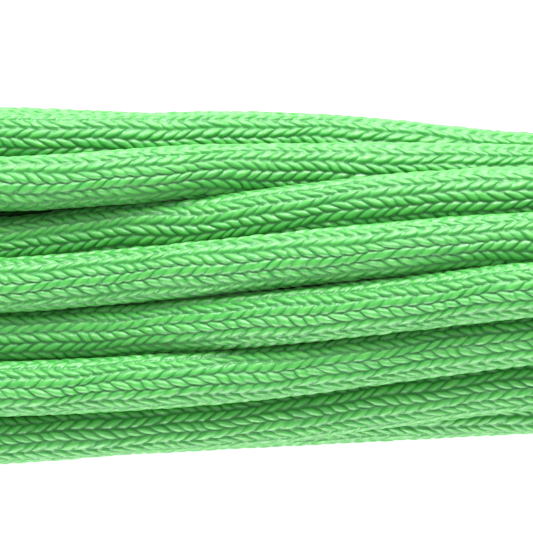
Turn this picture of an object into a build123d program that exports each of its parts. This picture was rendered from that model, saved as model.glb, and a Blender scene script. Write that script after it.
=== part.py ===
"""Hank of a thin dynamic climbing rope, folded back and forth, wrapped near one end, lying on a flat surface.

Origin: under the middle of the waist, on the resting surface. +X runs along the hank towards the wraps,
+Z is up.
"""

import math
import os

from build123d import *

os.makedirs("parts", exist_ok=True)

# ---- rope, in millimetres -------------------------------------------------------------------
rope_d = 8.0
sheath_bore = 6.0
core_strand_d = 1.8
core_ring_r = 2.0
core_ring_count = 6
tape_width = 1.2
tape_thickness = 0.1
tape_centre_r = 2.2
thread_d = 0.5
thread_centre_r = 2.6
end_length = 48.0
fused_end_thickness = 1.6
fused_end_d = 8.2
fused_end_edge = 0.5
sleeve_length = 38.0
sleeve_wall = 0.3
sleeve_gap = 0.05
sleeve_setback = 2.0

# ---- hank, in millimetres -------------------------------------------------------------------
fold_outer_r = 4.65 * rope_d
eye_r = 2.4 * rope_d
left_fold_x = -25.3 * rope_d
right_fold_x = 23.5 * rope_d
ear_height = 4.95 * rope_d
side_r = 1.6 * rope_d
wrap_start_x = 10.4 * rope_d
wrap_end_x = 16.4 * rope_d
neck_size = 5.2 * rope_d
neck_r = 2.5 * rope_d
neck_low = rope_d
wrap_size = neck_size + 2 * rope_d
wrap_r = neck_r + rope_d
eye_wall_x = -13.2 * rope_d
eye_wall_width = 2 * rope_d
flat_depth = 0.6

# Each section of the hank: its place along X, width, underside, top and corner radius.
# Those that lie on the surface start flat_depth below it, and are cut flat at it.
body_sections = [
    (left_fold_x, 2 * fold_outer_r, 0.0, ear_height, side_r),
    (-20 * rope_d, 8.7 * rope_d, 0.0, 4.8 * rope_d, side_r),
    (-12.5 * rope_d, 7.4 * rope_d, 0.0, 4.5 * rope_d, side_r),
    (-5 * rope_d, 6.3 * rope_d, 0.0, 4.3 * rope_d, side_r),
    (-rope_d, 6.1 * rope_d, 0.0, 4.6 * rope_d, side_r),
    (4 * rope_d, 5.5 * rope_d, 0.0, 5.2 * rope_d, 1.9 * rope_d),
    (wrap_start_x - rope_d, neck_size, neck_low, neck_low + neck_size, neck_r),
    (wrap_end_x, neck_size, neck_low, neck_low + neck_size, neck_r),
    (wrap_end_x + 3 * rope_d, 7.4 * rope_d, 0.0, 5.4 * rope_d, side_r),
    (right_fold_x, 2 * fold_outer_r, 0.0, ear_height, side_r),
]
tip_angles = (25, 45, 62, 75)


def tip_sections(fold_x, outwards):
    """Sections past the centre of a fold, whose half circle closes the hank in plan."""
    rows = []
    for angle in tip_angles:
        reach = fold_outer_r * math.sin(math.radians(angle))
        width = 2 * fold_outer_r * math.cos(math.radians(angle))
        rows.append((fold_x + outwards * reach, width, 0.0, ear_height, min(side_r, 0.48 * width)))
    return rows


hank_sections = sorted(
    tip_sections(left_fold_x, -1) + body_sections + tip_sections(right_fold_x, 1)
)

# ---- hank of folded rope, with the eyes that its folds leave open ----------------------------
with BuildPart() as hank:
    for x, width, underside, high, corner_r in hank_sections:
        low = underside if underside > 0 else -flat_depth
        with BuildSketch(Plane(origin=(x, 0, 0), x_dir=(0, 1, 0), z_dir=(1, 0, 0))):
            with Locations((0, (low + high) / 2)):
                RectangleRounded(width, high - low, corner_r)
    loft(ruled=True)
    split(bisect_by=Plane.XY, keep=Keep.TOP)
    with BuildSketch(Plane.XY):
        with Locations((left_fold_x, 0), (right_fold_x, 0)):
            Circle(eye_r)
        with BuildLine():
            Polyline(
                (left_fold_x, -eye_r),
                (eye_wall_x, -eye_wall_width / 2),
                (eye_wall_x, eye_wall_width / 2),
                (left_fold_x, eye_r),
                close=True,
            )
        make_face()
    extrude(amount=2 * ear_height, both=True, mode=Mode.SUBTRACT)
hank.part.label = "hank"
export_step(hank.part, "parts/hank.step")

# ---- wraps: the rope wound round the neck of the hank ---------------------------------------
with BuildPart() as wraps:
    with BuildSketch(Plane(origin=(wrap_start_x, 0, 0), x_dir=(0, 1, 0), z_dir=(1, 0, 0))):
        with Locations((0, neck_low + neck_size / 2)):
            RectangleRounded(wrap_size, wrap_size, wrap_r)
            RectangleRounded(neck_size, neck_size, neck_r, mode=Mode.SUBTRACT)
    extrude(amount=wrap_end_x - wrap_start_x)
wraps.part.label = "wraps"
export_step(wraps.part, "parts/wraps.step")

# ---- tails: the inner end lies in the left eye, the outer end on the right-hand folds -------
tail_z = rope_d / 2 + sleeve_wall + sleeve_gap

inner_tail_route = [
    (eye_wall_x, 0.0, tail_z),
    (eye_wall_x - 29.6, 0.0, tail_z),
    (eye_wall_x - 59.2, -2.4, tail_z),
]

outer_tail_route = [
    (wrap_end_x - 4.0, 8.0, 52.8),
    (wrap_end_x + 0.8, -4.8, 54.4),
    (wrap_end_x + 12.0, -18.4, 51.6),
    (wrap_end_x + 26.2, -24.6, 48.6),
    (wrap_end_x + 38.4, -25.0, 47.7),
]


def corner_radii(route):
    """The largest radius that each corner's two runs leave room for."""
    points = [Vector(*p) for p in route]
    radii = []
    for before, corner, after in zip(points, points[1:], points[2:]):
        run_in, run_out = corner - before, after - corner
        turn = math.radians(run_in.get_angle(run_out))
        radii.append(0.45 * min(run_in.length, run_out.length) / math.tan(turn / 2))
    return radii


inner_tail_radii = corner_radii(inner_tail_route)
inner_tail_start = Vector(*inner_tail_route[1]) - Vector(*inner_tail_route[0])

with BuildPart() as inner_tail:
    with BuildLine() as inner_tail_line:
        FilletPolyline(*inner_tail_route, radius=inner_tail_radii)
    with BuildSketch(Plane(origin=inner_tail_route[0], z_dir=inner_tail_start)):
        Circle(rope_d / 2)
    sweep(path=inner_tail_line.line)
inner_tail.part.label = "inner_tail"
export_step(inner_tail.part, "parts/inner_tail.step")

outer_tail_radii = corner_radii(outer_tail_route)
outer_tail_start = Vector(*outer_tail_route[1]) - Vector(*outer_tail_route[0])

with BuildPart() as outer_tail:
    with BuildLine() as outer_tail_line:
        FilletPolyline(*outer_tail_route, radius=outer_tail_radii)
    with BuildSketch(Plane(origin=outer_tail_route[0], z_dir=outer_tail_start)):
        Circle(rope_d / 2)
    sweep(path=outer_tail_line.line)
    split(bisect_by=Plane(origin=(wrap_end_x, 0, 0), z_dir=(1, 0, 0)), keep=Keep.TOP)
outer_tail.part.label = "outer_tail"
export_step(outer_tail.part, "parts/outer_tail.step")

for name, radii, wire, tail in (
    ("inner", inner_tail_radii, inner_tail_line, inner_tail),
    ("outer", outer_tail_radii, outer_tail_line, outer_tail),
):
    tube_volume = math.pi * rope_d**2 / 4 * wire.wires()[0].length
    print(name, "tail radii, mm:", [round(r, 1) for r in radii])
    print(name, "tail volume over section times length:", round(tail.part.volume / tube_volume, 3))


# ---- rope ends: sheath, core, tape, marker thread, fused tip and sleeve ---------------------
def end_plane(route):
    """Where a tail's last stretch starts, with Z along the rope towards its tip."""
    last, before = Vector(*route[-1]), Vector(*route[-2])
    return Plane(origin=last, x_dir=(0, 0, 1), z_dir=last - before)


for tail, route in (("inner", inner_tail_route), ("outer", outer_tail_route)):
    start = end_plane(route)

    with BuildPart() as sheath_end:
        with BuildSketch(start):
            Circle(rope_d / 2)
            Circle(sheath_bore / 2, mode=Mode.SUBTRACT)
        extrude(amount=end_length)
    sheath_end.part.label = f"{tail}_end_sheath"
    export_step(sheath_end.part, f"parts/{tail}_end_sheath.step")

    centres = [(0.0, 0.0)]
    for k in range(core_ring_count):
        angle = 2 * math.pi * k / core_ring_count
        centres.append((core_ring_r * math.cos(angle), core_ring_r * math.sin(angle)))
    for number, centre in enumerate(centres, start=1):
        with BuildPart() as core_strand:
            with BuildSketch(start):
                with Locations(centre):
                    Circle(core_strand_d / 2)
            extrude(amount=end_length)
        core_strand.part.label = f"{tail}_end_core_strand_{number}"
        export_step(core_strand.part, f"parts/{tail}_end_core_strand_{number}.step")

    gap_angle = 180 / core_ring_count
    with BuildPart() as tape:
        with BuildSketch(start):
            with PolarLocations(tape_centre_r, 1, start_angle=gap_angle):
                Rectangle(tape_width, tape_thickness)
        extrude(amount=end_length)
    tape.part.label = f"{tail}_end_marker_tape"
    export_step(tape.part, f"parts/{tail}_end_marker_tape.step")

    with BuildPart() as thread:
        with BuildSketch(start):
            with PolarLocations(thread_centre_r, 1, start_angle=3 * gap_angle):
                Circle(thread_d / 2)
        extrude(amount=end_length)
    thread.part.label = f"{tail}_end_marker_thread"
    export_step(thread.part, f"parts/{tail}_end_marker_thread.step")

    with BuildPart() as fused_end:
        with BuildSketch(start.offset(end_length)):
            Circle(fused_end_d / 2)
        extrude(amount=fused_end_thickness)
        tip = max(fused_end.faces(), key=lambda face: start.to_local_coords(face.center()).Z)
        fillet(tip.edges(), radius=fused_end_edge)
    fused_end.part.label = f"{tail}_end_fused_tip"
    export_step(fused_end.part, f"parts/{tail}_end_fused_tip.step")

    with BuildPart() as sleeve:
        with BuildSketch(start.offset(end_length - sleeve_setback - sleeve_length)):
            Circle(rope_d / 2 + sleeve_gap + sleeve_wall)
            Circle(rope_d / 2 + sleeve_gap, mode=Mode.SUBTRACT)
        extrude(amount=sleeve_length)
    sleeve.part.label = f"{tail}_end_sleeve"
    export_step(sleeve.part, f"parts/{tail}_end_sleeve.step")
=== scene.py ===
import math

import bpy
import numpy as np
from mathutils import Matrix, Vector


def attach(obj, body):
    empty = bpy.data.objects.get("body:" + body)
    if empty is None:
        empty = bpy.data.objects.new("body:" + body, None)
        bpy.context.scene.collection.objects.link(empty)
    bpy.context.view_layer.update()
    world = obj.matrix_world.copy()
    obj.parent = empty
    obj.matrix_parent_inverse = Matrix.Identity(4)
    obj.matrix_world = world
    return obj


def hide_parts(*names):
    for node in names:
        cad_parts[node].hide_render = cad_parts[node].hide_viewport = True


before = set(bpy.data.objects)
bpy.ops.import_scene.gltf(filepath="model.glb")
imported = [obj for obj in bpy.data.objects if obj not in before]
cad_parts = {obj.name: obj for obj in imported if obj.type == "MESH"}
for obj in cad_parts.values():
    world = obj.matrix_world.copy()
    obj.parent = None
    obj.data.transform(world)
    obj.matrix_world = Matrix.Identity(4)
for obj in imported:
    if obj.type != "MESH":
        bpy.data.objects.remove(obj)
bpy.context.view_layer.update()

scene = bpy.context.scene

# ---- the rope and its hank. Lengths in this part are in rope diameters unless they say metres ----
ROPE_M = 0.008                       # rope diameter in metres
LEFT, RIGHT = -25.3, 23.5            # centres of the folds, along X
INNER, OUTER = 3.10, 4.10            # radii of the two folds of a layer
LAYER = 0.98                         # height of a layer at the folds
TIGHTEST = 3.3                       # the relaxation opens bends of a smaller radius than this
WRAP_FROM, WRAP_TO = 10.9, 15.9      # first and last wrap, along X
WRAP_TURNS = 5
WRAP_RADIUS = 3.1
AXIS_Z = 3.6                         # height of the neck's axis
NECK = 2.08                          # the furthest a strand's centre may be from that axis
RING, DEEP_RING = 2.1, 1.1           # radii of the two rings of strands in the neck
TURN_POINTS = 16                     # points for each wrap
SPACING = 0.5                        # between the points of the relaxation
HALF_ROPE = 0.5                      # height of a strand that lies on the surface

# The strands on top of the hank at five places along X: each one's Y as the camera sees it at the
# height of VIEW_Z, then how far it lies below TOP.
STATIONS = np.array([-4.67, -2.34, 0.0, 2.34, 4.67])
TOP = np.array([3.65, 3.8, 4.1, 4.4, 4.7])
STRANDS = {
    "A0": ((2.66, 2.56, 2.45, 2.20, 1.75), (-1.84, -1.98, -2.9, -3.4, -3.6)),
    "A": ((2.55, 2.53, 2.58, 2.44, 2.13), (-0.84, -1.0, -2.0, -2.25, -2.95)),
    "B": ((1.76, 1.90, 2.01, 2.03, 1.99), (-0.25, -0.2, -1.2, -1.37, -2.0)),
    "C": ((0.67, 1.03, 1.22, 1.49, 1.62), (-0.72, -0.62, -0.59, -0.53, -1.07)),
    "D": ((-0.02, 0.17, 0.41, 0.64, 0.81), (0.0, 0.0, 0.0, 0.0, -0.48)),
    "E": ((-0.93, -0.78, -0.60, -0.34, -0.06), (-0.41, -0.30, 0.0, 0.0, 0.0)),
    "F": ((-1.84, -1.72, -1.53, -1.22, -0.90), (0.0, 0.0, -0.3, -0.48, -0.54)),
    "G": ((-2.68, -2.48, -2.34, -1.99, -1.70), (-0.63, -0.69, -0.92, -1.12, -1.14)),
    "H": ((-2.50, -2.40, -2.33, -2.22, -2.11), (-1.65, -1.7, -1.9, -2.05, -2.07)),
}
# The strands that don't show lie wider apart at the stations than in the neck, by these factors.
HIDDEN_SPREAD = np.array([1.22, 1.2, 1.15, 1.05, 1.0])
# Every strand's place in the round neck: degrees from +Y towards the top, and radius.
IN_NECK = {
    "A0": (315, RING), "A": (338, RING), "B": (3, RING), "C": (32, RING), "D": (63, RING),
    "E": (92, RING), "F": (120, RING), "G": (151, RING), "H": (180, RING),
    "low_1": (288, RING), "low_2": (261, RING), "low_3": (234, RING), "low_4": (207, RING),
    "deep_1": (283, DEEP_RING), "deep_2": (334, DEEP_RING), "deep_3": (26, DEEP_RING),
    "deep_4": (77, DEEP_RING), "deep_5": (129, DEEP_RING), "deep_6": (180, DEEP_RING),
    "deep_7": (231, DEEP_RING), "core": (0, 0.0),
}
# The turns in winding order: the run that goes left, and the run that comes back.
TURNS = [
    ("low_2", "low_1"), ("low_3", "A0"), ("low_4", "A"), ("deep_7", "deep_1"), ("deep_6", "deep_2"),
    ("H", "B"), ("G", "C"), ("deep_5", "deep_3"), ("E", "deep_4"), ("F", "D"),
]
# Each turn's folds: their radius and layer. The winding climbs from layer to layer like a snake.
FOLDS = [
    (INNER, 0), (OUTER, 0), (OUTER, 1), (INNER, 1), (INNER, 2),
    (OUTER, 2), (OUTER, 3), (INNER, 3), (INNER, 4), (OUTER, 4),
]
SLACK = {INNER: (0.3, 0.9), OUTER: (-0.1, 0.2)}   # how far a fold may stop short of its centre
FOLD_HALF_TURN = 80                  # degrees either side of a fold's tip
FOLD_POINTS = 9
RUN_STEP = 1.5                       # between the points of a run
RUN_EASE = 3                         # a run is level with its folds this far from their centres
OPENING, OPENING_SHARE = 5, 0.97     # at this distance it still has this share of the fold's width
LEAD_IN = [(-12.7, 0, 0.6), (-11, 0, 0.9)]   # from the inner tail up to the centre strand
CORE_START, CORE_STEP = -8, 2.0      # X of the centre strand's first point, and the step between them
CORE_START_Z = 1.7
LAST_RUN_END = 5.5                   # the last run stops this far before the first wrap
# The climb on to the wraps: X from the first wrap, degrees on round the neck, and radius.
CLIMB = np.array([(-4.4, 0, 2.0), (-3.4, 2, 2.6), (-2.3, 9, 3.0), (-1.4, 22, 3.1), (-0.75, 40, 3.1)])
CLIMB_STEPS = 3                      # points of the first wrap that the climb stands in for
WRAPS_BACK = 0.25                    # the wraps lie this far left of their even places

# ---- the relaxation: lengths in rope diameters, the rest as shares of a full correction -----------
ROUNDS = 300
APART = 0.985                        # least distance between the centrelines of two strands
LOOK_EVERY = 8                       # rounds between two searches for close points
LOOK_WITHIN = 1.35
SAME_PIECE = 4                       # points no further on than this along the rope don't collide
STRAIGHTEN = 0.55
SINK = 0.002                         # a round
RECALL = 0.02                        # back to the rough lay, fading to nothing half way through
REACH = 6                            # points along the chord that limits a bend
OPEN_BEND = 0.3
SHOWN_PULL, SHOWN_PULL_LATE = 0.15, 0.08   # of the strands on top, to where they show
LATE = 0.8                           # share of the rounds after which that pull is weaker
PUSH = 1.3
KEEP_LENGTH = 0.8
ON_TOP_WITHIN = 0.3                  # of a strand's place at the stations, to count as that strand
PAST_STATIONS = 1.5
WRAP_TAIL_POINTS = 270               # the points at the rope's end among which the wraps are
WRAPS_FROM, WRAPS_OUTSIDE = 2.7, 2.85   # left of the first wrap, and least radius of a held point
SQUEEZE_BEFORE, SQUEEZE_AFTER = 1, 0.6  # the neck is squeezed this far past the wraps

# The two tails as the CAD model has them, in metres. Each ends at the rope's tip.
INNER_TAIL = [
    (-0.21264, -0.00628, 0.00435), (-0.1648, -0.0024, 0.00435),
    (-0.1352, 0.0, 0.00435), (-0.1056, 0.0, 0.00435),
]
OUTER_TAIL = [
    (0.1272, 0.0080, 0.0528), (0.1320, -0.0048, 0.0544), (0.1432, -0.0184, 0.0516),
    (0.1574, -0.0246, 0.0486), (0.1696, -0.0250, 0.0477), (0.21744, -0.02657, 0.04417),
]


# ---- camera: straight above the middle of the hank -----------------------------------------------
VIEW_WIDTH = 0.0748                  # metres across, at VIEW_Z, the height of the topmost strands
VIEW_Z = 0.0345
VIEW_Y = 0.0026
CAMERA_AWAY = 0.70
camera_data = bpy.data.cameras.new("camera")
camera_data.lens = camera_data.sensor_width * CAMERA_AWAY / VIEW_WIDTH
camera_data.clip_start = 0.01
camera = bpy.data.objects.new("camera", camera_data)
camera.location = (0.0, VIEW_Y, VIEW_Z + CAMERA_AWAY)
scene.collection.objects.link(camera)
scene.camera = camera


# ---- the rope's line: a rough lay of the whole winding, then relaxed -----------------------------
def eased(x, y, at):
    """A smooth curve through the knots x, y that never overshoots them, read at the places in at."""
    step = np.diff(x)
    slope = np.diff(y) / step
    lean = np.zeros_like(y)
    both = slope[:-1] + slope[1:]
    same_way = slope[:-1] * slope[1:] > 0
    mean = 2 * slope[:-1] * slope[1:] / np.where(both == 0, 1, both)
    lean[1:-1] = np.where(same_way, mean, 0)
    k = np.clip(np.searchsorted(x, at) - 1, 0, len(step) - 1)
    t = (at - x[k]) / step[k]
    return ((2 * t**3 - 3 * t**2 + 1) * y[k] + (t**3 - 2 * t**2 + t) * step[k] * lean[k]
            + (3 * t**2 - 2 * t**3) * y[k + 1] + (t**3 - t**2) * step[k] * lean[k + 1])


def neck_place(name):
    angle, radius = IN_NECK[name]
    return radius * math.cos(math.radians(angle)), radius * math.sin(math.radians(angle))


def middle_place(name):
    """Y and Z of a strand at the stations."""
    if name in STRANDS:
        y, below = STRANDS[name]
        z = TOP + np.array(below)
        middle = VIEW_Y / ROPE_M
        return middle + (np.array(y) - middle) * (1 + (VIEW_Z - z * ROPE_M) / CAMERA_AWAY), z
    y, z = neck_place(name)
    flatness = (TOP - HALF_ROPE) / 2 / RING
    return y * HIDDEN_SPREAD, HALF_ROPE + (z + RING) * flatness


def run(name, from_fold, to_fold, x_from, x_to):
    """Points along one run between two folds, each given as the run's Y and Z there."""
    neck_y, neck_z = neck_place(name)
    y, z = middle_place(name)
    left_fold, right_fold = (from_fold, to_fold) if x_from < x_to else (to_fold, from_fold)
    left, right = min(x_from, x_to, LEFT + RUN_EASE), max(x_from, x_to, RIGHT - RUN_EASE)
    neck_at = (WRAP_FROM, (WRAP_FROM + WRAP_TO) / 2, WRAP_TO + HALF_ROPE)
    knots = np.array([left, LEFT + OPENING, *STATIONS, *neck_at, right])
    ys = np.array([left_fold[0], OPENING_SHARE * left_fold[0], *y, *[neck_y] * 3, right_fold[0]])
    zs = np.array([left_fold[1], left_fold[1], *z, *[neck_z + AXIS_Z] * 3, right_fold[1]])
    at = np.linspace(x_from, x_to, int(abs(x_to - x_from) / RUN_STEP) + 1)
    return np.stack([at, eased(knots, ys, at), eased(knots, zs, at)], 1)


def fold(x, y_from, z, way):
    """Points round one fold, from y_from to the other side. It bulges towards way along X."""
    turn = np.radians(np.linspace(FOLD_HALF_TURN, -FOLD_HALF_TURN, FOLD_POINTS))
    return np.stack([x + way * abs(y_from) * np.cos(turn), y_from * np.sin(turn), np.full(len(turn), z)], 1)


def rough_lay():
    """The winding from the eye to the last wrap, as a line of points."""
    uneven = np.random.default_rng(7)
    x = np.arange(CORE_START, RIGHT + 0.1, CORE_STEP)
    core_y, core_z = middle_place("core")
    knots = np.array([CORE_START, *STATIONS, WRAP_FROM, WRAP_TO, RIGHT])
    core = np.stack([x, eased(knots, np.array([0.0, *core_y, 0, 0, INNER]), x),
                     eased(knots, np.array([CORE_START_Z, *core_z, AXIS_Z, AXIS_Z, HALF_ROPE]), x)], 1)
    line = [np.array(LEAD_IN), core]
    x_right = RIGHT
    for number, (away, back) in enumerate(TURNS):
        radius, layer = FOLDS[number]
        z = HALF_ROPE + LAYER * layer
        x_left = LEFT + uneven.uniform(*SLACK[radius])
        line.append(fold(x_right, radius, z, 1))
        line.append(run(away, (-radius, z), (-radius, z), x_right, x_left))
        line.append(fold(x_left, -radius, z, -1))
        if number < len(TURNS) - 1:
            next_radius, next_layer = FOLDS[number + 1]
            next_z = HALF_ROPE + LAYER * next_layer
            x_right = RIGHT - uneven.uniform(*SLACK[next_radius])
            line.append(run(back, (radius, z), (next_radius, next_z), x_left, x_right))
        else:
            line.append(run(back, (radius, z), (radius, z), x_left, WRAP_FROM - LAST_RUN_END))
    return np.concatenate([*line, wrapping()])


def wrapping():
    """From the strand that climbs on to the neck, round it, to where the outer tail leaves."""
    start = IN_NECK["D"][0]
    steps = np.arange(CLIMB_STEPS, WRAP_TURNS * TURN_POINTS + 1)
    turn = 360 * steps / TURN_POINTS
    along = WRAP_FROM + (WRAP_TO - WRAP_FROM) * steps / (WRAP_TURNS * TURN_POINTS)
    along = np.r_[WRAP_FROM + CLIMB[:, 0], along - WRAPS_BACK]
    angle = np.radians(start + np.r_[CLIMB[:, 1], turn])
    radius = np.r_[CLIMB[:, 2], np.full(len(steps), WRAP_RADIUS)]
    return np.stack([along, radius * np.cos(angle), AXIS_Z + radius * np.sin(angle)], 1)


def evenly(line, step):
    """The same line with points a fixed step apart."""
    run_on = np.r_[0, np.cumsum(np.linalg.norm(np.diff(line, axis=0), axis=1))]
    at = np.linspace(0, run_on[-1], int(round(run_on[-1] / step)) + 1)
    return np.stack([np.interp(at, run_on, line[:, k]) for k in range(3)], 1)


def relaxed(line, tails):
    """The line once it has bent, sunk and pushed its strands apart, and which points are strands on top.

    As many points as tails says stay where they are, at either end.
    """
    p = line.copy()
    count = len(p)
    number = np.arange(count)
    strand = np.full(count, -1)
    near_middle = (p[:, 0] > STATIONS[0] - PAST_STATIONS) & (p[:, 0] < STATIONS[-1] + PAST_STATIONS)
    places = [middle_place(name) for name in STRANDS]
    for k, (ys, zs) in enumerate(places):
        off_y = p[:, 1] - np.interp(p[:, 0], STATIONS, ys)
        off_z = p[:, 2] - np.interp(p[:, 0], STATIONS, zs)
        strand[near_middle & (np.hypot(off_y, off_z) < ON_TOP_WITHIN)] = k
    from_axis = np.hypot(p[:, 1], p[:, 2] - AXIS_Z)
    held = (number > count - WRAP_TAIL_POINTS) & (p[:, 0] > WRAP_FROM - WRAPS_FROM)
    held &= from_axis > WRAPS_OUTSIDE
    held |= (number < tails[0]) | (number >= count - tails[1])
    free = np.where(held, 0.0, 1.0)
    least = 2 * TIGHTEST * math.sin(REACH * SPACING / 2 / TIGHTEST)
    for turn in range(ROUNDS):
        if turn % LOOK_EVERY == 0:
            q = p.astype(np.float32)
            size = (q * q).sum(1)
            close = size[:, None] + size[None, :] - 2 * q @ q.T < LOOK_WITHIN**2
            close &= number[None, :] - number[:, None] > SAME_PIECE
            one, two = np.nonzero(close)
        bend = np.zeros_like(p)
        bend[2:-2] = (4 * (p[1:-3] + p[3:-1]) - p[:-4] - p[4:] - 6 * p[2:-2]) / 16
        p += STRAIGHTEN * bend * free[:, None]
        p[:, 2] -= SINK * free
        p += RECALL * max(0.0, 1 - 2 * turn / ROUNDS) * (line - p) * free[:, None]
        in_neck = (p[:, 0] > WRAP_FROM - SQUEEZE_BEFORE) & (p[:, 0] < WRAP_TO + SQUEEZE_AFTER) & ~held
        from_axis = np.hypot(p[:, 1], p[:, 2] - AXIS_Z)
        squeeze = np.where(in_neck & (from_axis > NECK), NECK / np.maximum(from_axis, 1e-6), 1.0)
        p[:, 1] *= squeeze
        p[:, 2] = AXIS_Z + (p[:, 2] - AXIS_Z) * squeeze
        span = p[REACH:] - p[:-REACH]
        wide = np.sqrt((span * span).sum(1))
        spread = OPEN_BEND * (np.maximum(least - wide, 0) / wide)[:, None] * span
        p[REACH:] += spread * free[REACH:, None]
        p[:-REACH] -= spread * free[:-REACH, None]
        pull = SHOWN_PULL if turn < LATE * ROUNDS else SHOWN_PULL_LATE
        for k, (ys, zs) in enumerate(places):
            on = strand == k
            p[on, 1] += pull * (np.interp(p[on, 0], STATIONS, ys) - p[on, 1])
            p[on, 2] += pull * (np.interp(p[on, 0], STATIONS, zs) - p[on, 2])
        for _ in range(2):
            gap = p[one] - p[two]
            distance = np.sqrt((gap * gap).sum(1))
            hit = distance < APART
            a, b = one[hit], two[hit]
            push = (APART - distance[hit])[:, None] * gap[hit] / np.maximum(distance[hit], 1e-6)[:, None]
            share = np.maximum(free[a] + free[b], 1e-6)
            moved = np.zeros_like(p)
            for k in range(3):
                moved[:, k] = (np.bincount(a, push[:, k] * free[a] / share, count)
                               - np.bincount(b, push[:, k] * free[b] / share, count))
            hits = np.bincount(a, minlength=count) + np.bincount(b, minlength=count)
            p += PUSH * moved / np.maximum(hits, 1)[:, None]
            for parity in (0, 1):
                i = np.arange(parity, count - 1, 2)
                link = p[i + 1] - p[i]
                long = np.sqrt((link * link).sum(1))
                share = np.maximum(free[i] + free[i + 1], 1e-6)
                fix = KEEP_LENGTH * ((long - SPACING) / long)[:, None] * link
                p[i] += fix * (free[i] / share)[:, None]
                p[i + 1] -= fix * (free[i + 1] / share)[:, None]
            p[:, 2] = np.where(held, p[:, 2], np.maximum(p[:, 2], HALF_ROPE))
    return p, strand >= 0


def nurbs_line(points):
    """A smooth line with these control points, in metres, as Blender evaluates it."""
    curve = bpy.data.curves.new("rope_line", "CURVE")
    curve.dimensions = "3D"
    curve.resolution_u = 8
    spline = curve.splines.new("NURBS")
    spline.points.add(len(points) - 1)
    spline.points.foreach_set("co", np.c_[points, np.ones(len(points))].ravel())
    spline.order_u = 3
    spline.use_endpoint_u = True
    holder = bpy.data.objects.new("rope_line", curve)
    scene.collection.objects.link(holder)
    mesh = bpy.data.meshes.new_from_object(holder)
    line = np.zeros(len(mesh.vertices) * 3)
    mesh.vertices.foreach_get("co", line)
    bpy.data.objects.remove(holder)
    bpy.data.curves.remove(curve)
    bpy.data.meshes.remove(mesh)
    return line.reshape(-1, 3)


# The evenly spaced tails only keep the winding clear of them: the spline takes the routes' own points.
inner_tail = evenly(np.array(INNER_TAIL) / ROPE_M, SPACING)
outer_tail = evenly(np.array(OUTER_TAIL) / ROPE_M, SPACING)
loose = evenly(rough_lay(), SPACING)
whole, on_top = relaxed(np.concatenate([inner_tail, loose, outer_tail]),
                        (len(inner_tail), len(outer_tail)))
every = int(round(1 / SPACING))      # one control point for each rope diameter of length
winding_m = whole[len(inner_tail):-len(outer_tail)][:1:-every][:0:-1] * ROPE_M
top_m = whole[on_top] * ROPE_M
line = nurbs_line(np.concatenate([INNER_TAIL, winding_m, OUTER_TAIL]))
keep = np.r_[True, np.linalg.norm(np.diff(line, axis=0), axis=1) > 1e-7]
line = line[keep]
print("rope line:", len(winding_m), "control points in the winding,", len(line), "evaluated")


# ---- the braided sheath as a mesh -----------------------------------------------------------------
COLUMNS = 16                          # columns of stitches round the rope, leaning left and right in turn
STITCH = 0.245 * ROPE_M               # length of a stitch along the rope, metres
HALF = STITCH / 2
CREST_R = 0.5 * ROPE_M                # radius at a stitch's crest
YARN_HIGH = 0.00048                   # height of a stitch, metres
YARN_WIDE = 1.04                      # half width of a yarn over half a stitch
YARN_LONG = 1.00                      # half length of a stitch over half a column
YARN_ROUND, END_ROUND = 2.2, 2.8      # powers that shape a yarn's section and a stitch's ends
STAGGER = 0.25                        # shift of a column's stitches, opposite in its neighbours
GROUND = 1.08                         # depth of the braid's ground under the crests, over YARN_HIGH
FINE = (8, 8)                         # points for each column, and rows for each stitch, on the top strands
COARSE = (4, 4)
FINE_REACH = 5.9 * ROPE_M             # the fine part of the top strands, either side of the middle
FINE_WITHIN = 0.45 * ROPE_M           # of a point of a top strand
END_STRAIGHT = 0.002                  # the stitches' zigzag fades out this far from the rope's ends
CARRIERS = 16                         # carriers that go round each way
OWN_TONE, CARRIER_TONE = 0.65, 0.35   # shares of a stitch's own tone and of its carrier's
STRIPS = 21                           # rows of the flat layout, one for each piece of the rope
FLAT_EDGE, STRIP_EDGE = 0.003, 0.04   # margins of the layout and of a strip
# Slow and quick waves that the braid wanders by: size, length in rope diameters, times round, shift.
SIDEWAYS = [(0.30, 23, 0, 1), (0.16, 5.3, 1, 0), (0.10, 1.9, 2, 2)]
ONWARD = [(0.16, 3.1, 1, 4), (0.10, 1.3, 3, 0), (0.06, 0.7, 5, 0)]


class Centreline:
    """The rope's line, with a frame that doesn't twist about it."""

    def __init__(self, points):
        self.points = points
        self.at = np.r_[0, np.cumsum(np.linalg.norm(np.diff(points, axis=0), axis=1))]
        self.length = self.at[-1]
        tangent = np.gradient(points, self.at, axis=0)
        self.tangent = tangent / np.linalg.norm(tangent, axis=1)[:, None]
        side = np.zeros_like(points)
        side[0] = np.cross(self.tangent[0], (0, 0, 1))
        side[0] /= np.linalg.norm(side[0])
        for i in range(len(points) - 1):
            step = points[i + 1] - points[i]
            c = step @ step
            s = side[i] - 2 / c * (step @ side[i]) * step
            t = self.tangent[i] - 2 / c * (step @ self.tangent[i]) * step
            turn = self.tangent[i + 1] - t
            c = turn @ turn
            side[i + 1] = s if c < 1e-18 else s - 2 / c * (turn @ s) * turn
        self.side = side

    def read(self, table, s):
        return np.stack([np.interp(s, self.at, table[:, k]) for k in range(3)], 1)

    def frame(self, s):
        """Centre and the two directions across the rope, at each distance s along it."""
        centre = self.read(self.points, s)
        tangent = self.read(self.tangent, s)
        side = self.read(self.side, s)
        tangent /= np.linalg.norm(tangent, axis=1)[:, None]
        side -= (side * tangent).sum(1)[:, None] * tangent
        side /= np.linalg.norm(side, axis=1)[:, None]
        return centre, side, np.cross(tangent, side)


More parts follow.
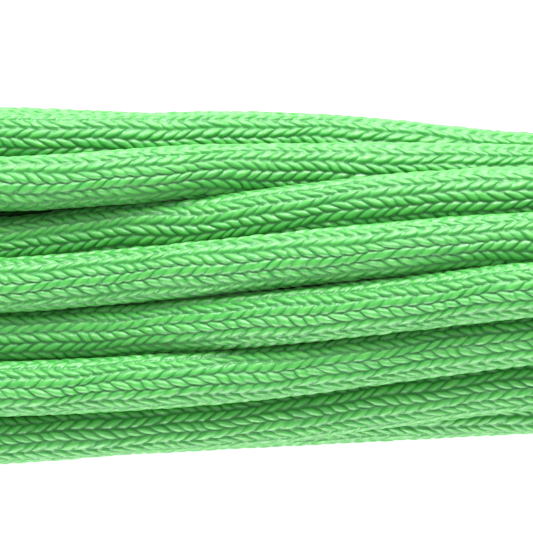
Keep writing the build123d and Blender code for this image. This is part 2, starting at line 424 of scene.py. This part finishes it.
rope_line = Centreline(line)
stitches = int(rope_line.length / STITCH)
STITCH = rope_line.length / stitches
HALF = STITCH / 2
uneven = np.random.default_rng(11)
yarn_lift = np.clip(uneven.normal(-0.03, 0.08, (COLUMNS, stitches + 8)), -0.25, 0.08)
yarn_off = uneven.normal(0, 0.07, (COLUMNS, stitches + 8))
yarn_tone = uneven.uniform(0, 1, (COLUMNS, stitches + 8))
carrier_tone = uneven.uniform(0, 1, (2, CARRIERS))


def zigzag(around):
    """How far a line of stitches has run along the rope at this place round it, in half stitches."""
    column = np.floor(around)
    middle = 2 * (around - column) - 1
    return np.where(column % 2 == 0, -middle, middle)


def braid_height(around, along):
    """Height of the braid's surface over its base, at around (in columns) and along (in metres)."""
    own = np.floor(around).astype(int)
    best = np.zeros(len(around))
    for column in (own - 1, own, own + 1):
        lean = np.where(column % 2 == 0, -1.0, 1.0)
        across_column = 2 * (around - column) - 1
        row = (along - HALF * lean * across_column) / STITCH
        offset = np.where(column % 2 == 0, -STAGGER, STAGGER)
        stitch = np.round(row - offset).astype(int)
        which = column % COLUMNS, np.clip(stitch, 0, stitches) + 2
        across_yarn = 2 * (row - offset - stitch) + yarn_off[which]
        plump = 1 - np.abs(across_yarn / YARN_WIDE) ** YARN_ROUND
        plump = plump - np.abs(across_column / YARN_LONG) ** END_ROUND
        best = np.maximum(best, YARN_HIGH * (1 + yarn_lift[which]) * np.sqrt(np.clip(plump, 0, 1)))
    return best


def wander(along, around):
    """Small uneven shifts of the braid: round the rope in columns, and along it in metres."""
    s = 2 * math.pi * along / ROPE_M
    turn = 2 * math.pi * around / COLUMNS
    sideways, onward = (
        sum(size * np.sin(s / long + times * turn + shift) for size, long, times, shift in waves)
        for waves in (SIDEWAYS, ONWARD)
    )
    return sideways, onward * STITCH


def rows_of(centres):
    """The rows of points along the rope: each row's stitch, its place, and whether it is fine."""
    looked_at = np.zeros(stitches, bool)
    for i in np.nonzero(np.abs(centres[:, 0]) < FINE_REACH)[0]:
        looked_at[i] = np.min(((top_m - centres[i]) ** 2).sum(1)) < FINE_WITHIN ** 2
    rows_each = np.where(looked_at, FINE[1], COARSE[1])
    row_stitch = np.repeat(np.arange(stitches), rows_each)
    row_part = np.concatenate([np.arange(k) / k for k in rows_each])
    row_along = np.r_[(row_stitch + row_part) * STITCH, stitches * STITCH]
    row_fine = np.r_[looked_at[row_stitch], False]
    return np.r_[row_stitch, stitches - 1], row_along, row_fine


def braid_points(centreline, row_along, vertex_row, around):
    """The points of the braid's surface, then the middle of each end, and every point's relief, 0 to 1."""
    to_end = np.minimum(row_along, centreline.length - row_along)
    straight = np.clip(to_end / END_STRAIGHT, 0, 1)
    along = row_along[vertex_row] + HALF * zigzag(around) * straight[vertex_row]
    along = np.clip(along, 0, centreline.length)
    height = braid_height(around, along)
    radius = CREST_R - YARN_HIGH * GROUND + height
    relief = np.clip(height / YARN_HIGH, 0, 1)
    sideways, onward = wander(along, around)
    angle = 2 * math.pi * (around + sideways) / COLUMNS
    along = np.clip(along + onward * straight[vertex_row], 0, centreline.length)
    total = len(around)
    points = np.zeros((total + 2, 3), np.float32)
    block = 200000
    for start in range(0, total, block):
        part = slice(start, start + block)
        centre, side, up = centreline.frame(along[part])
        out = np.cos(angle[part])[:, None] * side + np.sin(angle[part])[:, None] * up
        points[start:start + len(out)] = centre + radius[part][:, None] * out
    points[total], points[total + 1] = centreline.points[0], centreline.points[-1]
    return points, np.r_[relief, 0, 0].astype(np.float32)


def braid_faces(row_fine, first):
    """The tube's quads and triangles, and each face's row and place round the rope, in columns."""
    quads, quad_row, quad_place = [], [], []
    tris, tri_row, tri_place = [], [], []
    for fine in (False, True):
        each = (FINE if fine else COARSE)[0] * COLUMNS
        i = np.arange(each)
        plain = np.nonzero((row_fine[:-1] == fine) & (row_fine[1:] == fine))[0]
        low, high = first[plain][:, None], first[plain + 1][:, None]
        nxt = (i + 1) % each
        quads.append(np.stack([low + i, low + nxt, high + nxt, high + i], 2).reshape(-1, 4))
        quad_row.append(np.repeat(plain, each))
        quad_place.append(np.tile(i / each * COLUMNS, len(plain)))

    # Between a coarse row and a fine one, each coarse step meets two fine ones.
    each = COARSE[0] * COLUMNS
    i = np.arange(each)
    for row in np.nonzero(row_fine[:-1] != row_fine[1:])[0]:
        up_to_fine = row_fine[row + 1]
        coarse = first[row] if up_to_fine else first[row + 1]
        fine = first[row + 1] if up_to_fine else first[row]
        c0, c1 = coarse + i, coarse + (i + 1) % each
        f0, f1, f2 = fine + 2 * i, fine + 2 * i + 1, fine + (2 * i + 2) % (2 * each)
        quad = np.stack([c0, c1, f1, f0], 1)
        tri = np.stack([c1, f2, f1], 1)
        quads.append(quad if up_to_fine else quad[:, ::-1])
        tris.append(tri if up_to_fine else tri[:, ::-1])
        quad_row.append(np.full(each, row))
        tri_row.append(np.full(each, row))
        quad_place.append(i / each * COLUMNS)
        tri_place.append(i / each * COLUMNS)

    # The flat ends, as fans round their middle points.
    total, last = first[-1], len(first) - 3
    nxt = (i + 1) % each
    tris.append(np.stack([np.full(each, total), nxt, i], 1))
    tris.append(np.stack([np.full(each, total + 1), first[-2] + i, first[-2] + nxt], 1))
    tri_row.append(np.repeat([0, last], each))
    tri_place.append(np.tile(i / each * COLUMNS, 2))
    face_row, face_place = np.concatenate(quad_row + tri_row), np.concatenate(quad_place + tri_place)
    return np.concatenate(quads), np.concatenate(tris), face_row, face_place


def corner_values(corners, sizes, around, along, row_along, row_stitch, face_row, face_place):
    """Each corner's place and tone on its own yarn, and its place in the flat layout for baking."""
    corner_face = np.repeat(np.arange(len(sizes)), sizes)
    corner_around = np.r_[around, 0.0, 0.0][corners]
    corner_along = np.r_[along, 0.0, stitches * STITCH][corners]
    wraps_over = corner_around < face_place[corner_face] - COLUMNS / 2
    corner_around = np.where(wraps_over, COLUMNS, corner_around)
    column = np.floor(face_place + 1e-6).astype(int)
    leans_left = column % 2 == 0
    offset = np.where(leans_left, -STAGGER, STAGGER)
    last_row = len(row_along) - 1
    middle = (row_along[face_row] + row_along[np.minimum(face_row + 1, last_row)]) / 2 / STITCH
    stitch = np.round(middle - offset)
    grain = np.clip(stitch.astype(int), 0, stitches) + 2
    carrier = np.where(leans_left, stitch + column, stitch - column).astype(int) % CARRIERS
    tone = (OWN_TONE * yarn_tone[column, grain]
            + CARRIER_TONE * carrier_tone[leans_left.astype(int), carrier])
    yarn = np.zeros((len(corners), 3), np.float32)
    yarn[:, 0] = 2 * (corner_along / STITCH - (offset + stitch)[corner_face])
    yarn[:, 1] = 2 * (corner_around - column[corner_face]) - 1
    yarn[:, 2] = tone[corner_face]

    per_strip = math.ceil(stitches / STRIPS)
    strip = row_stitch[face_row] // per_strip
    u = (corner_along / STITCH - (strip * per_strip)[corner_face]) / per_strip
    v = (strip[corner_face] + STRIP_EDGE + (1 - 2 * STRIP_EDGE) * corner_around / COLUMNS) / STRIPS
    u = FLAT_EDGE + (1 - 2 * FLAT_EDGE) * np.clip(u, 0, 1)
    return yarn, np.stack([u, v], 1).astype(np.float32)


def rope_mesh(name, centreline):
    """A closed tube whose surface is the braid: rows of points run along the stitches' zigzag."""
    centres = centreline.read(centreline.points, (np.arange(stitches) + 0.5) * STITCH)
    row_stitch, row_along, row_fine = rows_of(centres)
    per_row = np.where(row_fine, FINE[0], COARSE[0]) * COLUMNS
    first = np.r_[0, np.cumsum(per_row)]
    vertex_row = np.repeat(np.arange(len(per_row)), per_row)
    place = np.arange(first[-1]) - first[vertex_row]
    around = place * COLUMNS / per_row[vertex_row]
    points, relief = braid_points(centreline, row_along, vertex_row, around)
    quads, tris, face_row, face_place = braid_faces(row_fine, first)
    corners = np.concatenate([quads.ravel(), tris.ravel()]).astype(np.int32)
    sizes = np.concatenate([np.full(len(quads), 4), np.full(len(tris), 3)])
    starts = np.r_[0, np.cumsum(sizes)[:-1]].astype(np.int32)

    mesh = bpy.data.meshes.new(name)
    mesh.vertices.add(len(points))
    mesh.vertices.foreach_set("co", points.ravel())
    mesh.loops.add(len(corners))
    mesh.loops.foreach_set("vertex_index", corners)
    mesh.polygons.add(len(sizes))
    mesh.polygons.foreach_set("loop_start", starts)
    mesh.polygons.foreach_set("use_smooth", np.ones(len(sizes), bool))

    yarn, flat = corner_values(corners, sizes, around, row_along[vertex_row], row_along, row_stitch,
                               face_row, face_place)
    mesh.attributes.new("yarn", "FLOAT_VECTOR", "CORNER").data.foreach_set("vector", yarn.ravel())
    mesh.attributes.new("relief", "FLOAT", "POINT").data.foreach_set("value", relief)
    mesh.uv_layers.new(name="OFBake").uv.foreach_set("vector", flat.ravel())
    mesh.update(calc_edges=True)
    print(name, "points", len(points), "faces", len(sizes))
    made = bpy.data.objects.new(name, mesh)
    scene.collection.objects.link(made)
    return made, centres


rope, ring_centres = rope_mesh("braided_rope", rope_line)
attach(rope, "root")
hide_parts("hank", "wraps", "inner_tail", "outer_tail", "inner_end_sheath", "outer_end_sheath")
end_pieces = [node for name, node in sorted(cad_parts.items())
              if "_end_" in name and "sheath" not in name]


# ---- materials ---------------------------------------------------------------------------------------
class Finish:
    """A small helper that adds nodes to one material and joins them."""

    def __init__(self, name):
        self.material = bpy.data.materials.new(name)
        self.material.use_nodes = True
        self.nodes = self.material.node_tree.nodes
        self.links = self.material.node_tree.links
        self.shader = self.nodes["Principled BSDF"]

    def add(self, kind, **settings):
        node = self.nodes.new(kind)
        for key, value in settings.items():
            setattr(node, key, value)
        return node

    def join(self, source, target):
        self.links.new(source, target)

    def math(self, operation, a, b=0.0, clamp=False):
        node = self.add("ShaderNodeMath", operation=operation, use_clamp=clamp)
        for socket, value in zip(node.inputs, (a, b)):
            if isinstance(value, (int, float)):
                socket.default_value = value
            else:
                self.join(value, socket)
        return node.outputs[0]

    def ramp(self, source, *stops):
        node = self.add("ShaderNodeValToRGB")
        stops = list(stops)
        while len(node.color_ramp.elements) < len(stops):
            node.color_ramp.elements.new(0.5)
        for element, (position, colour) in zip(node.color_ramp.elements, stops):
            element.position = position
            element.color = (*colour, 1)
        self.join(source, node.inputs["Fac"])
        return node.outputs["Color"]

    def mix(self, kind, factor, a, b):
        node = self.add("ShaderNodeMix", data_type="RGBA", blend_type=kind)
        for socket, value in ((node.inputs["Factor"], factor), (node.inputs[6], a), (node.inputs[7], b)):
            if isinstance(value, (int, float)):
                socket.default_value = value
            elif isinstance(value, tuple):
                socket.default_value = (*value, 1)
            else:
                self.join(value, socket)
        return node.outputs[2]

    def noise(self, vector, scale, detail=2.0, roughness=0.5):
        node = self.add("ShaderNodeTexNoise")
        node.inputs["Scale"].default_value = scale
        node.inputs["Detail"].default_value = detail
        node.inputs["Roughness"].default_value = roughness
        self.join(vector, node.inputs["Vector"])
        return node.outputs["Fac"]

    def stretched(self, vector, scale):
        node = self.add("ShaderNodeMapping")
        node.inputs["Scale"].default_value = scale
        self.join(vector, node.inputs["Vector"])
        return node.outputs["Vector"]

    def object_place(self):
        return self.add("ShaderNodeTexCoord").outputs["Object"]

    def bump(self, height, strength, distance, before=None):
        node = self.add("ShaderNodeBump")
        node.inputs["Strength"].default_value = strength
        node.inputs["Distance"].default_value = distance
        self.join(height, node.inputs["Height"])
        if before is not None:
            self.join(before, node.inputs["Normal"])
        return node.outputs["Normal"]

    def wear(self, thing):
        thing.data.materials.clear()
        thing.data.materials.append(self.material)


# Greens of the braid: painted shade down between the yarns, a yarn's side, its crest, and the paler yarns.
GAP_SHADE_GREEN = (0.003, 0.235, 0.028)
FLANK_GREEN = (0.015, 0.345, 0.030)
CREST_GREEN = (0.054, 0.442, 0.048)
PALE_GREEN = (0.092, 0.505, 0.070)


def braid_finish():
    """Bright green polyamide yarn: filament streaks along each yarn, and painted shade down between them.
    """
    f = Finish("green_braid")
    yarn = f.add("ShaderNodeAttribute", attribute_name="yarn").outputs["Vector"]
    relief = f.add("ShaderNodeAttribute", attribute_name="relief").outputs["Fac"]
    parts = f.add("ShaderNodeSeparateXYZ")
    f.join(yarn, parts.inputs[0])
    tone = parts.outputs["Z"]
    streaks = f.noise(f.stretched(yarn, (4.0, 0.8, 61.0)), 1.0, 2.0, 0.6)
    fine_streaks = f.noise(f.stretched(yarn, (11.0, 1.4, 97.0)), 1.0, 1.0, 0.5)
    place = f.object_place()
    patches = f.noise(place, 90.0, 3.0, 0.6)
    specks = f.noise(place, 900.0, 2.0, 0.6)
    # Painted shade: the green darkens with the relief, from the crests down to the gaps between the yarns.
    base = f.ramp(relief, (0.08, GAP_SHADE_GREEN), (0.60, FLANK_GREEN), (1.0, CREST_GREEN))
    lively = f.mix("MIX", f.math("MULTIPLY", tone, 0.30), base, PALE_GREEN)
    streak_tint = f.ramp(streaks, (0.30, (0.55, 0.76, 0.60)), (0.70, (1.30, 1.14, 1.22)))
    streaked = f.mix("MULTIPLY", 0.70, lively, streak_tint)
    speck_tint = f.ramp(specks, (0.35, (0.78, 0.92, 1.05)), (0.65, (1.28, 1.06, 0.92)))
    speckled = f.mix("MULTIPLY", 0.60, streaked, speck_tint)
    patch_tint = f.ramp(patches, (0.35, (0.85, 0.92, 0.85)), (0.65, (1.06, 1.03, 1.06)))
    worn = f.mix("MULTIPLY", 0.30, speckled, patch_tint)
    f.join(worn, f.shader.inputs["Base Color"])
    rough = f.math("ADD", f.math("MULTIPLY", streaks, 0.25), 0.22, clamp=True)
    f.join(rough, f.shader.inputs["Roughness"])
    f.shader.inputs["Sheen Weight"].default_value = 0.5
    f.shader.inputs["Sheen Roughness"].default_value = 0.40
    f.shader.inputs["Sheen Tint"].default_value = (0.97, 1.0, 0.90, 1)
    f.shader.inputs["Specular IOR Level"].default_value = 1.0
    height = f.math("ADD", f.math("MULTIPLY", streaks, 0.6), f.math("MULTIPLY", fine_streaks, 0.4))
    f.join(f.bump(height, 0.70, 0.00016), f.shader.inputs["Normal"])
    return f


def core_finish():
    """White twisted polyamide: plies that wind round the strand."""
    f = Finish("white_twisted_core")
    place = f.object_place()
    wave = f.add("ShaderNodeTexWave", bands_direction="DIAGONAL")
    wave.inputs["Scale"].default_value = 420.0
    wave.inputs["Distortion"].default_value = 1.5
    f.join(place, wave.inputs["Vector"])
    grain = f.noise(f.stretched(place, (300, 2500, 2500)), 1.0, 2.0)
    colour = f.ramp(wave.outputs["Fac"], (0.1, (0.60, 0.60, 0.55)), (0.8, (0.88, 0.88, 0.84)))
    f.join(f.mix("MULTIPLY", 0.4, colour, f.ramp(grain, (0.3, (0.8, 0.8, 0.78)), (0.7, (1, 1, 1)))),
           f.shader.inputs["Base Color"])
    f.join(f.math("ADD", f.math("MULTIPLY", grain, 0.3), 0.35), f.shader.inputs["Roughness"])
    f.shader.inputs["Sheen Weight"].default_value = 0.3
    f.join(f.bump(wave.outputs["Fac"], 0.6, 0.0002), f.shader.inputs["Normal"])
    return f


def tape_finish():
    """Thin plain tape, with fine lengthwise draw lines."""
    f = Finish("white_tape")
    place = f.object_place()
    lines = f.noise(f.stretched(place, (60, 3500, 3500)), 1.0, 2.0)
    colour = f.ramp(lines, (0.3, (0.70, 0.71, 0.70)), (0.7, (0.88, 0.88, 0.87)))
    f.join(colour, f.shader.inputs["Base Color"])
    f.join(f.math("ADD", f.math("MULTIPLY", lines, 0.25), 0.3), f.shader.inputs["Roughness"])
    f.join(f.bump(lines, 0.3, 0.0001), f.shader.inputs["Normal"])
    return f


def thread_finish():
    """Fine red marker thread, two plies twisted."""
    f = Finish("red_thread")
    place = f.object_place()
    wave = f.add("ShaderNodeTexWave", bands_direction="DIAGONAL")
    wave.inputs["Scale"].default_value = 1400.0
    f.join(place, wave.inputs["Vector"])
    f.join(f.ramp(wave.outputs["Fac"], (0.1, (0.28, 0.01, 0.01)), (0.8, (0.62, 0.04, 0.03))),
           f.shader.inputs["Base Color"])
    f.join(f.math("ADD", f.math("MULTIPLY", wave.outputs["Fac"], -0.2), 0.75), f.shader.inputs["Roughness"])
    f.join(f.bump(wave.outputs["Fac"], 0.5, 0.0001), f.shader.inputs["Normal"])
    return f


def sleeve_finish():
    """Black heat-shrunk tube: semi-gloss, slightly rippled by the braid under it, with faint scuffs."""
    f = Finish("black_shrunk_sleeve")
    place = f.object_place()
    ripple = f.noise(place, 650.0, 2.0, 0.5)
    scuffs = f.noise(f.stretched(place, (250, 1800, 1800)), 1.0, 3.0, 0.65)
    colour = f.ramp(scuffs, (0.45, (0.010, 0.011, 0.013)), (0.75, (0.045, 0.047, 0.050)))
    f.join(colour, f.shader.inputs["Base Color"])
    f.join(f.math("ADD", f.math("MULTIPLY", scuffs, 0.45), 0.15), f.shader.inputs["Roughness"])
    f.shader.inputs["Coat Weight"].default_value = 0.2
    f.join(f.bump(scuffs, 0.15, 0.0001, f.bump(ripple, 0.35, 0.0004)), f.shader.inputs["Normal"])
    return f


def fused_finish():
    """Melted sheath and core: darker green, glassy, with flow ripples and scorched spots."""
    f = Finish("melted_tip")
    place = f.object_place()
    flow = f.noise(place, 420.0, 3.0, 0.55)
    spots = f.noise(place, 1500.0, 2.0, 0.5)
    colour = f.ramp(flow, (0.30, (0.012, 0.085, 0.016)), (0.55, (0.040, 0.300, 0.045)),
                    (0.75, (0.10, 0.42, 0.09)))
    f.join(f.mix("MULTIPLY", 0.6, colour, f.ramp(spots, (0.35, (0.45, 0.40, 0.30)), (0.6, (1, 1, 1)))),
           f.shader.inputs["Base Color"])
    f.join(f.math("ADD", f.math("MULTIPLY", flow, 0.35), 0.12), f.shader.inputs["Roughness"])
    f.join(f.bump(flow, 0.6, 0.0005), f.shader.inputs["Normal"])
    return f


braid_finish().wear(rope)
finishes = {
    "core_strand": core_finish(), "marker_tape": tape_finish(), "marker_thread": thread_finish(),
    "sleeve": sleeve_finish(), "fused_tip": fused_finish(),
}
for node in end_pieces:
    for word, finish in finishes.items():
        if word in node.name:
            finish.wear(node)


# ---- floor, light and picture -------------------------------------------------------------------------
def floor_finish():
    """Plain white studio paper, with a faint tooth."""
    f = Finish("white_paper")
    tooth = f.noise(f.object_place(), 60.0, 4.0, 0.6)
    colour = f.ramp(tooth, (0.3, (0.90, 0.90, 0.90)), (0.7, (0.93, 0.93, 0.93)))
    f.join(colour, f.shader.inputs["Base Color"])
    f.join(f.math("ADD", f.math("MULTIPLY", tooth, 0.1), 0.8), f.shader.inputs["Roughness"])
    f.shader.inputs["Specular IOR Level"].default_value = 0.1
    f.shader.inputs["Emission Color"].default_value = (1, 1, 1, 1)
    f.shader.inputs["Emission Strength"].default_value = 0.42
    return f


FLOOR_HALF = 6.0
floor_mesh = bpy.data.meshes.new("floor")
floor_mesh.from_pydata([(-FLOOR_HALF, -FLOOR_HALF, 0), (FLOOR_HALF, -FLOOR_HALF, 0),
                        (FLOOR_HALF, FLOOR_HALF, 0), (-FLOOR_HALF, FLOOR_HALF, 0)], [], [(0, 1, 2, 3)])
floor = bpy.data.objects.new("floor", floor_mesh)
scene.collection.objects.link(floor)
floor_finish().wear(floor)


def soft_light(name, place, aim, size, power):
    data = bpy.data.lights.new(name, "AREA")
    data.shape = "DISK"
    data.size = size
    data.energy = power
    light = bpy.data.objects.new(name, data)
    light.location = place
    light.rotation_euler = (Vector(aim) - Vector(place)).to_track_quat("-Z", "Y").to_euler()
    scene.collection.objects.link(light)


AIM = (0, 0, 0.02)
soft_light("key", (0.10, 1.05, 0.66), AIM, size=0.95, power=27.0)
soft_light("low_fill", (-0.20, -1.25, 0.34), AIM, size=0.9, power=17.0)

world = bpy.data.worlds.new("studio")
world.use_nodes = True
world.node_tree.nodes["Background"].inputs["Color"].default_value = (1, 1, 1, 1)
world.node_tree.nodes["Background"].inputs["Strength"].default_value = 0.74
scene.world = world
scene.view_settings.view_transform = "Standard"
